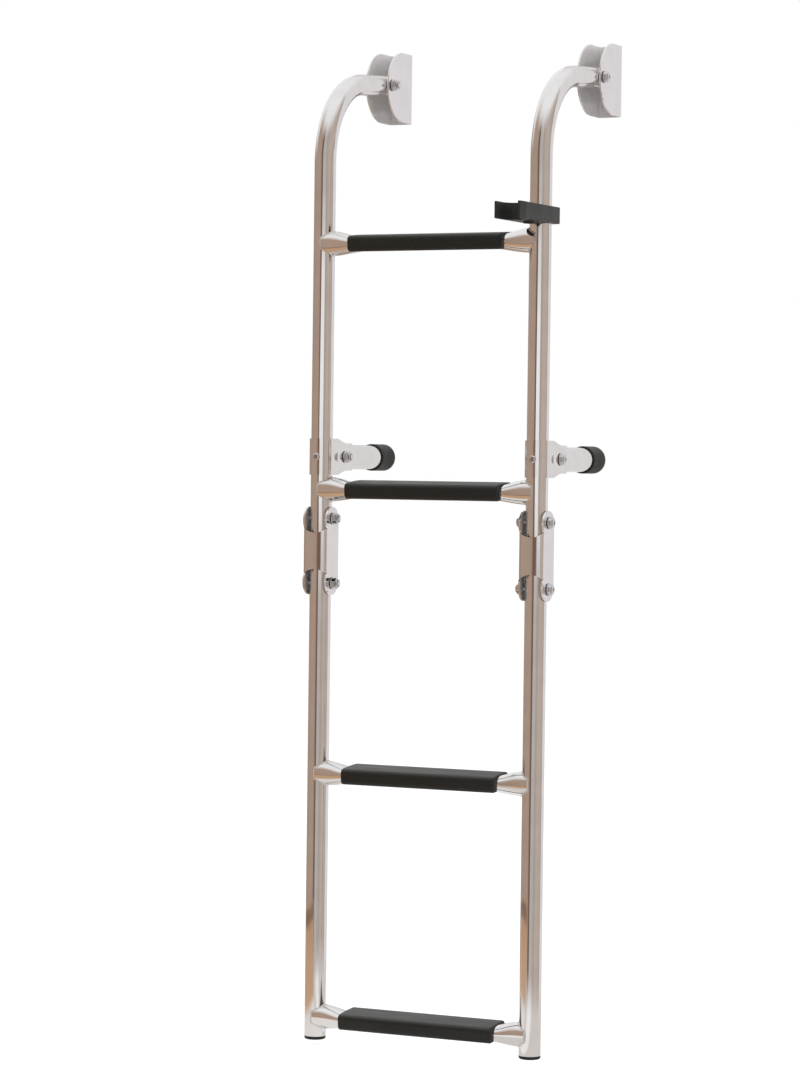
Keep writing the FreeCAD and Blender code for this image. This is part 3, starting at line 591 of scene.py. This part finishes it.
def bead_tree():
    """Overlapping beads along curves, each one a slightly different size."""
    tree, given = node_tree("weld_beads", {
        "Pitch": "Float", "Radius": "Float", "Seed": "Int", "Material": "Material"})
    line = added(tree, "GeometryNodeResampleCurve", {
        "Curve": given["Geometry"], "Length": given["Pitch"]}, mode="LENGTH").outputs["Curve"]
    puddle = added(tree, "GeometryNodeMeshUVSphere", {
        "Segments": 10, "Rings": 7, "Radius": given["Radius"]}).outputs["Mesh"]
    smooth = added(tree, "GeometryNodeSetShadeSmooth", {"Geometry": puddle}).outputs["Geometry"]
    along = added(tree, "GeometryNodeInputTangent").outputs["Tangent"]
    size = added(tree, "FunctionNodeRandomValue", {
        0: BEAD_SMALLEST, 1: BEAD_LARGEST, "Seed": given["Seed"]}, data_type="FLOAT_VECTOR")
    beads = added(tree, "GeometryNodeInstanceOnPoints", {
        "Points": line, "Instance": smooth, "Rotation": turned_to(tree, along),
        "Scale": size.outputs[0]}).outputs["Instances"]
    result_of(tree, beads, given["Material"])
    return tree


def grown(name, source, tree, values):
    """Run a Geometry Nodes tree on a source object and keep the result as a plain mesh object."""
    modifier = source.modifiers.new("tree", "NODES")
    modifier.node_group = tree
    sockets = {item.name: item.identifier for item in tree.interface.items_tree
               if item.item_type == "SOCKET" and item.in_out == "INPUT"}
    for label, value in values.items():
        modifier[sockets[label]] = value
    bpy.context.view_layer.update()
    ready = source.evaluated_get(bpy.context.evaluated_depsgraph_get())
    mesh = bpy.data.meshes.new_from_object(ready)
    source.modifiers.remove(modifier)
    bpy.data.objects.remove(source)
    mesh.name = name
    return placed(name, mesh)


def cope_line(curves, x, side, middle):
    """Add the closed line on which a step tube's end meets its rail."""
    spline = curves.splines.new("POLY")
    spline.points.add(PATH_POINTS - 1)
    for index, point in enumerate(spline.points):
        angle = 2 * math.pi * index / PATH_POINTS
        y, z = step_section(angle, 0)
        point.co = (x + side * cope_depth(angle),
                    middle.y + y * BEAD_LINE, middle.z + z * BEAD_LINE, 1)
    spline.use_cyclic_u = True


weld_steel = steel_material("weld_steel", WELD_TINT, WELD_GRAIN, roughness=0.16, waviness=0)
weld_tree = bead_tree()
for body, steps in STEPS_OF.items():
    copes = bpy.data.curves.new(f"{body}_cope_lines", "CURVE")
    copes.dimensions = "3D"
    for step in steps:
        low, high = (Vector(corner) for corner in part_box(f"step_{step}_tube"))
        for x, side in ((low.x, 1), (high.x, -1)):
            cope_line(copes, x, side, (low + high) / 2)
    welds = grown(f"{body}_welds", placed(f"{body}_cope_lines", copes), weld_tree, {
        "Pitch": BEAD_PITCH, "Radius": BEAD_RADIUS, "Seed": BEAD_SEED, "Material": weld_steel})
    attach(welds, body)


# Treads
# A black moulded sleeve is pressed over the flat of each step tube. It has a flat front, round
# edges and a slightly crowned top.
TREAD_HALF_LENGTH = 0.0845
TREAD_HALF_DEPTH = 0.020
TREAD_HALF_HEIGHT = 0.008
TREAD_CORNER = 0.005
TREAD_END_ROUND = 0.0012
TREAD_CROWN = 0.0006
CORNER_STEPS = 8
CROWN_STEPS = 10
END_STEPS = 4
SPECK_RANGE = (0.35, 0.65)
SPECK_SHADES = (0.8, 1.15)
SPECK_DEPTH = 0.0003
PLASTIC_SHINE = 0.3
PAINTED_SHEEN_RANGE = (0.35, 0.95)
SCUFF_RANGE = (0.3, 0.7)
SCUFF_SPREAD = (0.85, 1.15)
EVEN_SCUFFS = (60, 60, 60)
LONG_SCUFFS = (25, 250, 250)


def tread_outline(inset):
    """The sleeve's round-cornered section in y and z, drawn in by an inset all round."""
    radius = TREAD_CORNER - inset
    points = []
    for quarter, (across, up) in enumerate(((1, 1), (-1, 1), (-1, -1), (1, -1))):
        for index in range(CORNER_STEPS + 1):
            angle = math.pi / 2 * (quarter + index / CORNER_STEPS)
            points.append((across * (TREAD_HALF_DEPTH - TREAD_CORNER) + radius * math.cos(angle),
                           up * (TREAD_HALF_HEIGHT - TREAD_CORNER) + radius * math.sin(angle)))
        if quarter == 0:
            edge, top = points[-1]
            points += [(edge * (1 - 2 * index / CROWN_STEPS), top)
                       for index in range(1, CROWN_STEPS)]
    return [(y, z + TREAD_CROWN * (1 - (y / TREAD_HALF_DEPTH) ** 2) if z > 0 else z)
            for y, z in points]


def tread(mesh, middle):
    """One sleeve along X with rounded ends."""
    stations = []
    for index in range(END_STEPS + 1):
        angle = math.pi / 2 * index / END_STEPS
        stations.append((TREAD_HALF_LENGTH - TREAD_END_ROUND * (1 - math.sin(angle)),
                         TREAD_END_ROUND * (1 - math.cos(angle))))
    stations = [(-reach, inset) for reach, inset in reversed(stations)] + stations
    rings = [[mesh.verts.new(middle + Vector((reach, *tilted(y, z))))
              for y, z in tread_outline(inset)] for reach, inset in stations]
    skinned(mesh, rings)
    mesh.faces.new(rings[0])
    mesh.faces.new(rings[-1])


def moulded_material(name, colour, painted_sheen_colour, roughness, grain, scuffs=EVEN_SCUFFS):
    """Black moulded plastic or rubber: a fine grain, faint scuffs, and a painted sheen that is
    lighter where it faces up.
    """
    material, tree, shader = new_material(name)
    place = added(tree, "ShaderNodeTexCoord").outputs
    speck = noise(tree, place["Object"], scale=900, detail=3)
    shades = [[part * shade for part in colour] for shade in SPECK_SHADES]
    shown = ramp(tree, speck, [*zip(SPECK_RANGE, shades)])
    # Painted sheen: the colour goes lighter where the surface faces up
    facing = added(tree, "ShaderNodeSeparateXYZ", {"Vector": place["Normal"]}).outputs["Z"]
    shown = blended(tree, ranged(tree, facing, PAINTED_SHEEN_RANGE), shown, painted_sheen_colour)
    scuff = noise(tree, place["Object"], scale=1, detail=4, stretch=scuffs)
    gloss = ranged(tree, scuff, SCUFF_RANGE, [roughness * part for part in SCUFF_SPREAD], "LINEAR")
    feed(tree, shader, {"Specular IOR Level": PLASTIC_SHINE, "Base Color": shown,
                        "Roughness": gloss, "Normal": bumped(tree, speck, grain, SPECK_DEPTH)})
    return material


# Each moulded part's second colour is the painted sheen on its upward faces
tread_plastic = moulded_material("tread_plastic", (0.013, 0.013, 0.011), (0.050, 0.050, 0.048),
                                 roughness=0.5, grain=0.25, scuffs=LONG_SCUFFS)
for body, steps in STEPS_OF.items():
    sleeves = bmesh.new()
    for step in steps:
        low, high = (Vector(corner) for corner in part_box(f"step_{step}_tread"))
        tread(sleeves, (low + high) / 2)
    fitted(f"{body}_treads", sleeves, tread_plastic, body,
           [f"step_{step}_tread" for step in steps])


# Standoffs
# A sheet strap is bent round each rail and holds a short tube between its cheeks. The tube ends
# in a dull rubber pad that rests against the transom.
STANDOFF_GRAIN = (900, 14, 900)
standoff_steel = steel_material(
    "standoff_steel", STEEL_TINT, STANDOFF_GRAIN, roughness=0.10, waviness=0.08)
dress([f"{side}_standoff_{piece}" for side in SIDES for piece in ("clamp", "tube")],
      standoff_steel)
pad_rubber = moulded_material("pad_rubber", (0.028, 0.029, 0.026), (0.060, 0.060, 0.057),
                              roughness=0.65, grain=0.4)
dress([f"{side}_standoff_pad" for side in SIDES], pad_rubber)


# Hinge channels
# Two channels bent from polished sheet join the halves. Each end turns on a bolt through the
# tube, so that the lower half can fold right up in front of the upper one.
CROWN_RADIUS = 0.027
SKIN = 0.001
CHANNEL_SHINE = 0.9


def crowned(material, across):
    """Round a channel's web slightly, by its distance across from the channel's middle."""
    tree = material.node_tree
    shader = tree.nodes["Principled BSDF"]
    square = combined(tree, "MULTIPLY", across, across)
    height = combined(tree, "MULTIPLY", square, -0.5 / CROWN_RADIUS)
    waves = shader.inputs["Normal"].links[0].from_socket
    feed(tree, shader, {"Normal": bumped(tree, height, 1, 1, waves)})


channel_steel = steel_material(
    "channel_steel", STEEL_TINT, UPRIGHT_GRAIN, roughness=0.08, waviness=0.06)
web_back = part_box("left_hinge_channel")[0][1] + SKIN
crowned(channel_steel, dull_inside(channel_steel, web_back, CHANNEL_SHINE))
dress([f"{side}_hinge_channel" for side in SIDES], channel_steel)


# Bolts, nuts and screws
# Every joint has a cross-recessed pan-head bolt of polished steel outside and a lock nut inside,
# both on thick washers. A small domed screw keeps each standoff strap from sliding down its rail.
# The fasteners' tint is darker than the rails' steel: painted shade standing in for the darker room
# that their heads reflect
FASTENER_SHADED_TINT = (0.67, 0.68, 0.70)
FASTENER_GRAIN = (400, 400, 400)
TURNS = 60
EDGE_BREAK = 0.0003
WASHER_RADIUS = 0.00625
WASHER_HEIGHT = 0.0014
SINK = EDGE_BREAK / 2  # of a head or nut into its washer
BOLT_RADIUS = 0.003
BOLT_END = 0.0005
BOLT_HEAD = {"radius": 0.00575, "rim": 0.0017, "top": 0.0046}
BOLT_RECESS = {"depth": 0.0024, "width": 0.0011, "length": 0.0058}
SCREW_RADIUS = 0.002
SCREW_LENGTH = 0.005
SCREW_HEAD = {"radius": 0.00375, "rim": 0.0004, "top": 0.002}
SCREW_RECESS = {"depth": 0.0012, "width": 0.0008, "length": 0.0042}
RECESS_FLOOR = (0.45, 0.835)  # shares of a slot's length and width left at its floor
DOME_STEPS = 10
DOME_FULLNESS = 0.8
NUT_ACROSS = 0.010
NUT_HEIGHT = 0.0043
CHAMFER_START = 0.97
CHAMFER_OUT = 0.0002
CHAMFER_DOWN = 0.0001
TOP_CHAMFER_RINGS = 8
FOOT_CHAMFER_RINGS = 4
COLLAR_RADIUS = 0.0045
COLLAR_HEIGHT = 0.0015
COLLAR_TURN = ((0, 0.0008), (0.00025, 0.0003), (0.0008, 0))  # inward and down from its rim
INSERT_RADIUS = 0.00348
INSERT_DEPTHS = (0.0001, 0.0012)
CAD_HEAD_STACK = 0.0066  # a CAD bolt's washer and head together
SPIN_SEED = 11


def shell(mesh, profile, outline=None, painted_shade_rings=()):
    """Turn (radius, height) points, from axis to axis, into a closed shell with painted shade on
    some rings.
    """
    painted_shade = mesh.verts.layers.float.get("painted_shade") or mesh.verts.layers.float.new("painted_shade")
    rings = []
    for radius, height in profile:
        ring = []
        for index in range(TURNS if radius else 1):
            angle = 2 * math.pi * index / TURNS
            reach = min(radius, outline(angle)) if outline else radius
            ring.append(mesh.verts.new((reach * math.cos(angle), reach * math.sin(angle), height)))
        rings.append(ring)
    for place in painted_shade_rings:
        for corner in rings[place]:
            corner[painted_shade] = 1
    skinned(mesh, rings)


def hexagon(angle):
    """How far a hexagon's side is from its middle at an angle."""
    return NUT_ACROSS / 2 / math.cos((angle + math.pi / 6) % (math.pi / 3) - math.pi / 6)


def washer_shell(mesh):
    """A thick washer with broken edges, with painted shade underneath and where the head or nut
    sits on it.
    """
    inner, outer = WASHER_RADIUS - EDGE_BREAK, WASHER_RADIUS
    shell(mesh, [(0, 0), (inner, 0), (outer, EDGE_BREAK), (outer, WASHER_HEIGHT - EDGE_BREAK),
                 (inner, WASHER_HEIGHT), (0, WASHER_HEIGHT)], painted_shade_rings=(0, 1, 2, -1))


def stem_shell(mesh, radius, low, high):
    """A fastener's stem with a broken edge at its end."""
    shell(mesh, [(0, low), (radius - EDGE_BREAK, low), (radius, low + EDGE_BREAK),
                 (radius, high), (0, high)])


def head_shell(mesh, base, radius, rim, top):
    """A domed head over its rim, with painted shade at its foot."""
    points = [(0, base), (radius, base), (radius, base + rim)]
    for index in range(1, DOME_STEPS):
        angle = math.pi / 2 * index / DOME_STEPS
        points.append((radius * math.cos(angle) ** DOME_FULLNESS,
                       base + rim + (top - rim) * math.sin(angle)))
    shell(mesh, points + [(0, base + top)], painted_shade_rings=(0, 1))


def bolt_master(width):
    """A pan-head bolt for a joint of the given width, seated at z = 0 and facing +Z."""
    mesh = bmesh.new()
    washer_shell(mesh)
    head_shell(mesh, WASHER_HEIGHT - SINK, **BOLT_HEAD)
    end = width + WASHER_HEIGHT + NUT_HEIGHT + COLLAR_HEIGHT + BOLT_END
    stem_shell(mesh, BOLT_RADIUS, -end, WASHER_HEIGHT / 2)
    return mesh


def nut_master():
    """A lock nut facing +Z: washer, chamfered hexagon, and a collar turned in over its insert."""
    mesh = bmesh.new()
    washer_shell(mesh)
    foot, top = WASHER_HEIGHT - SINK, WASHER_HEIGHT + NUT_HEIGHT
    upper = [(NUT_ACROSS / 2 * CHAMFER_START + CHAMFER_OUT * index, top - CHAMFER_DOWN * index)
             for index in range(TOP_CHAMFER_RINGS)]
    lower = [(radius, foot + top - height) for radius, height in upper[:FOOT_CHAMFER_RINGS]]
    shell(mesh, [(0, foot), *lower, *reversed(upper), (0, top)], hexagon, painted_shade_rings=(0, 1, -1))
    crown = top + COLLAR_HEIGHT
    turned_in = [(COLLAR_RADIUS - inward, crown - down) for inward, down in COLLAR_TURN]
    insert = [(INSERT_RADIUS, crown - depth) for depth in INSERT_DEPTHS]
    # Painted shade at the collar's foot and deep in its hole, where the dark also stands for the
    # nylon insert's own colour
    shell(mesh, [(0, top - EDGE_BREAK), (COLLAR_RADIUS, top - EDGE_BREAK), *turned_in, *insert,
                 (0, insert[-1][1])], painted_shade_rings=(0, 1, -2, -1))
    return mesh


def screw_master():
    """A small domed screw facing +Z, with its stem behind it."""
    mesh = bmesh.new()
    head_shell(mesh, 0, **SCREW_HEAD)
    stem_shell(mesh, SCREW_RADIUS, -SCREW_LENGTH, SCREW_HEAD["rim"] / 2)
    return mesh


def slot_tool(top, turn, depth, width, length):
    """One tapered slot of a cross, as a wedge to cut with."""
    wedge = bmesh.new()
    painted_shade = wedge.verts.layers.float.new("painted_shade")
    bmesh.ops.create_cube(wedge, size=1)
    for corner in wedge.verts:
        along, across = RECESS_FLOOR if corner.co.z < 0 else (1, 1)
        corner.co = Vector((corner.co.x * length * along, corner.co.y * width * across,
                            corner.co.z * depth * 2 + top))
        # Every face of the wedge becomes a recess wall, painted with shade
        corner[painted_shade] = 1
    bmesh.ops.rotate(wedge, verts=wedge.verts, matrix=Matrix.Rotation(turn, 3, "Z"))
    return placed("recess_tool", finished("recess_tool", wedge))


def cross_recess(thing, top, sizes):
    """Sink a tapered cross into the top of a head."""
    for turn in (0, math.pi / 2):
        tool = slot_tool(top, turn, **sizes)
        cut = thing.modifiers.new("recess", "BOOLEAN")
        cut.operation = "DIFFERENCE"
        cut.solver = "EXACT"
        cut.use_self = True
        cut.object = tool
        bpy.context.view_layer.update()
        ready = thing.evaluated_get(bpy.context.evaluated_depsgraph_get())
        data = bpy.data.meshes.new_from_object(ready)
        thing.modifiers.remove(cut)
        thing.data = data
        bpy.data.objects.remove(tool)
    thing.data.shade_smooth()
    thing.data.set_sharp_from_angle(angle=CREASE)


# One bolt master for each joint's width; a kind is a master's place in the order of names
JOINT_WIDTHS = (0.026, 0.027, 0.0282)
BRACKET_BOLT, PIVOT_BOLT, STANDOFF_BOLT, NUT, SCREW = range(5)
masters = bpy.data.collections.new("fastener_masters")
bpy.context.scene.collection.children.link(masters)
for index, width in enumerate(JOINT_WIDTHS):
    name = f"bolt_{index}"
    cross_recess(placed(name, finished(name, bolt_master(width)), masters),
                 WASHER_HEIGHT + BOLT_HEAD["top"], BOLT_RECESS)
placed("lock_nut", finished("lock_nut", nut_master()), masters)
cross_recess(placed("strap_screw", finished("strap_screw", screw_master()), masters),
             SCREW_HEAD["top"], SCREW_RECESS)


def fastener_tree():
    """Put a fastener of each point's kind at the point, facing its way and turned at random."""
    tree, given = node_tree("fasteners", {
        "Masters": "Collection", "Seed": "Int", "Material": "Material"})
    shelf = added(tree, "GeometryNodeCollectionInfo", {
        "Collection": given["Masters"], "Separate Children": True,
        "Reset Children": True}).outputs["Instances"]
    kind = added(tree, "GeometryNodeInputNamedAttribute", {"Name": "kind"}, data_type="INT")
    facing = added(tree, "GeometryNodeInputNamedAttribute", {"Name": "facing"},
                   data_type="FLOAT_VECTOR")
    chance = added(tree, "FunctionNodeRandomValue", {3: 2 * math.pi, "Seed": given["Seed"]},
                   data_type="FLOAT")
    spin = added(tree, "FunctionNodeAxisAngleToRotation", {
        "Axis": (0, 0, 1), "Angle": chance.outputs[1]})
    turn = added(tree, "FunctionNodeRotateRotation", {
        "Rotation": turned_to(tree, facing.outputs["Attribute"]),
        "Rotate By": spin.outputs["Rotation"]}, rotation_space="LOCAL")
    fasteners = added(tree, "GeometryNodeInstanceOnPoints", {
        "Points": given["Geometry"], "Instance": shelf, "Pick Instance": True,
        "Instance Index": kind.outputs["Attribute"], "Rotation": turn.outputs["Rotation"]})
    result_of(tree, fasteners.outputs["Instances"], given["Material"])
    return tree


def seat_of(low, high, kind, outward):
    """Where a fastener of a kind sits in its CAD node's box, and which way it faces."""
    seat = (low + high) / 2
    if kind == SCREW:
        seat.y = low.y + SCREW_HEAD["top"]
        return seat, Vector((0, -1, 0))
    if kind == NUT:
        seat.x = high.x if outward.x > 0 else low.x
        return seat, -outward
    seat.x = high.x - CAD_HEAD_STACK if outward.x > 0 else low.x + CAD_HEAD_STACK
    return seat, outward


# The fasteners carry painted shade in their recesses and crevices
fastener_steel = steel_material(
    "fastener_steel", FASTENER_SHADED_TINT, FASTENER_GRAIN, roughness=0.10, waviness=0, painted_crevice_shade=True)
fitting_tree = fastener_tree()
FASTENERS = {
    "brackets": {"mount_bolt": BRACKET_BOLT, "mount_nut": NUT},
    "upper_section": {"standoff_bolt": STANDOFF_BOLT, "standoff_nut": NUT, "strap_screw": SCREW},
    "hinge_links": {"upper_pivot_bolt": PIVOT_BOLT, "upper_pivot_nut": NUT,
                    "lower_pivot_bolt": PIVOT_BOLT, "lower_pivot_nut": NUT},
}
for body, kinds in FASTENERS.items():
    places, facings, replaced = [], [], []
    for side in SIDES:
        outward = Vector((-1 if side == "left" else 1, 0, 0))
        for node, kind in kinds.items():
            low, high = (Vector(corner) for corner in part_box(f"{side}_{node}"))
            place, facing = seat_of(low, high, kind, outward)
            places.append(place)
            facings.extend(facing)
            replaced.append(f"{side}_{node}")
    seats = bpy.data.meshes.new(f"{body}_seats")
    seats.from_pydata(places, [], [])
    seats.attributes.new("facing", "FLOAT_VECTOR", "POINT").data.foreach_set("vector", facings)
    seats.attributes.new("kind", "INT", "POINT").data.foreach_set(
        "value", [*kinds.values()] * len(SIDES))
    fasteners = grown(f"{body}_fasteners", placed(f"{body}_seats", seats), fitting_tree, {
        "Masters": masters, "Seed": SPIN_SEED, "Material": fastener_steel})
    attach(fasteners, body)
    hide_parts(*replaced)
for item in list(masters.objects):
    bpy.data.objects.remove(item)
bpy.data.collections.remove(masters)


# Stow clip
# A block moulded from black plastic is fixed on the right rail, with an open mouth that takes the
# folded lower rail. It is glossier than the treads, and its jaws come to thin rounded tips.
clip_plastic = moulded_material("clip_plastic", (0.022, 0.023, 0.021), (0.040, 0.041, 0.038),
                                roughness=0.45, grain=0.12)
dress(["stow_clip"], clip_plastic)


# Foot caps
# A plug moulded from black plastic closes the end of each lower rail, with a low domed lip that
# takes the knocks.
cap_plastic = moulded_material("cap_plastic", (0.014, 0.014, 0.014), (0.03, 0.03, 0.03),
                               roughness=0.5, grain=0.2)
dress([f"{side}_foot_cap" for side in SIDES], cap_plastic)
